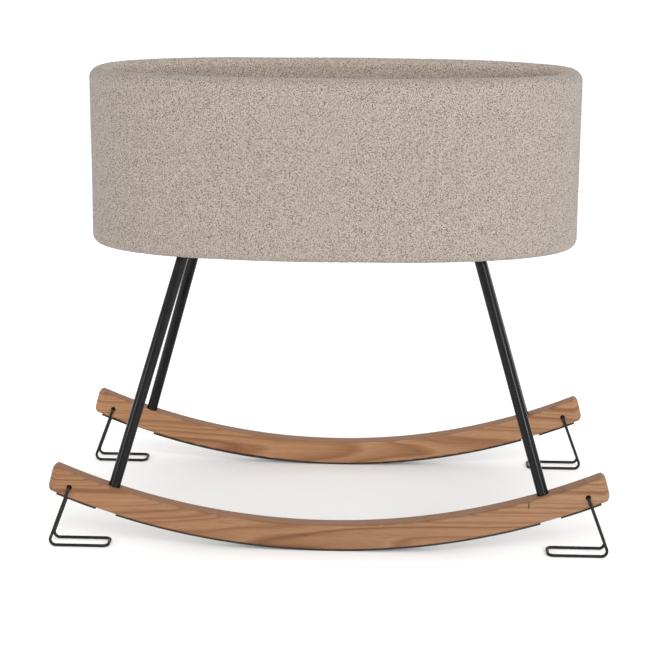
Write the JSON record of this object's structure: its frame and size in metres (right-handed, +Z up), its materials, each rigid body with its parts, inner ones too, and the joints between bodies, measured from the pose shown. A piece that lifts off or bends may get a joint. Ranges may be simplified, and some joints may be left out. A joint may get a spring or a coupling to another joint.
{
  "type": "bassinet on stand",
  "caption": "Padded oval bassinet on splayed tube legs and curved wooden rockers, with swing-out wire feet that stop the rocking.",
  "frame": {"origin": "on the floor under the centre of the basket, midway between the rockers", "axes": "+X along the rockers, in the direction of rocking; +Y to the rear; +Z up"},
  "size_m": [0.9228, 0.481, 0.775],
  "materials": {
    "boucle": "looped teddy boucle, matt",
    "wall_foam": "soft upholstery foam",
    "plywood": "raw birch plywood",
    "lining_cloth": "plain woven cotton",
    "black_steel": "satin powder coat",
    "black_wire": "satin powder coat",
    "zinc_steel": "zinc plated",
    "ash_wood": "oiled ash with a satin lacquer",
    "grip_rubber": "matt anti-slip strip",
    "mattress_foam": "soft foam",
    "mattress_sheet": "quilted cotton"
  },
  "bodies": {
    "cradle": {"outer_cover": "boucle", "inner_lining": "boucle", "rim_padding": "wall_foam", "outer_padding": "wall_foam", "inner_padding": "wall_foam", "wall_panel_left": "plywood", "wall_panel_right": "plywood", "splice_strip_front": "zinc_steel", "splice_strip_rear": "zinc_steel", "splice_rivets": "zinc_steel", "base_board": "plywood", "base_screws": "zinc_steel", "floor_lining": "lining_cloth", "dust_cover": "lining_cloth", "leg_plate_front_left": "black_steel", "leg_plate_front_right": "black_steel", "leg_plate_rear_left": "black_steel", "leg_plate_rear_right": "black_steel", "plate_bolts": "zinc_steel", "tee_nuts": "zinc_steel", "leg_tube_front_left": "black_steel", "leg_tube_front_right": "black_steel", "leg_tube_rear_left": "black_steel", "leg_tube_rear_right": "black_steel", "threaded_plugs": "zinc_steel", "rocker_bolts": "zinc_steel", "rocker_washers": "zinc_steel", "rocker_front": "ash_wood", "rocker_rear": "ash_wood", "grip_strip_front_middle": "grip_rubber", "grip_strip_front_left": "grip_rubber", "grip_strip_front_right": "grip_rubber", "grip_strip_rear_middle": "grip_rubber", "grip_strip_rear_left": "grip_rubber", "grip_strip_rear_right": "grip_rubber"},
    "wire_foot_front_left_body": {"wire_foot_front_left": "black_wire"},
    "wire_foot_front_right_body": {"wire_foot_front_right": "black_wire"},
    "wire_foot_rear_left_body": {"wire_foot_rear_left": "black_wire"},
    "wire_foot_rear_right_body": {"wire_foot_rear_right": "black_wire"},
    "mattress": {"mattress_core": "mattress_foam", "mattress_cover": "mattress_sheet"}
  },
  "joints": [
    {"name": "front_left_foot_swing", "type": "hinge", "parent": "cradle", "child": "wire_foot_front_left_body", "pos_m": [-0.4255, -0.22, 0.10195], "axis": [0, 1, 0], "range_deg": [-26, 212]},
    {"name": "front_right_foot_swing", "type": "hinge", "parent": "cradle", "child": "wire_foot_front_right_body", "pos_m": [0.4255, -0.22, 0.10195], "axis": [0, -1, 0], "range_deg": [-26, 212]},
    {"name": "rear_left_foot_swing", "type": "hinge", "parent": "cradle", "child": "wire_foot_rear_left_body", "pos_m": [-0.4255, 0.22, 0.10195], "axis": [0, 1, 0], "range_deg": [-26, 212]},
    {"name": "rear_right_foot_swing", "type": "hinge", "parent": "cradle", "child": "wire_foot_rear_right_body", "pos_m": [0.4255, 0.22, 0.10195], "axis": [0, -1, 0], "range_deg": [-26, 212]},
    {"name": "mattress_lift", "type": "slide", "parent": "cradle", "child": "mattress", "axis": [0, 0, 1], "range_m": [0, 0.3]}
  ]
}
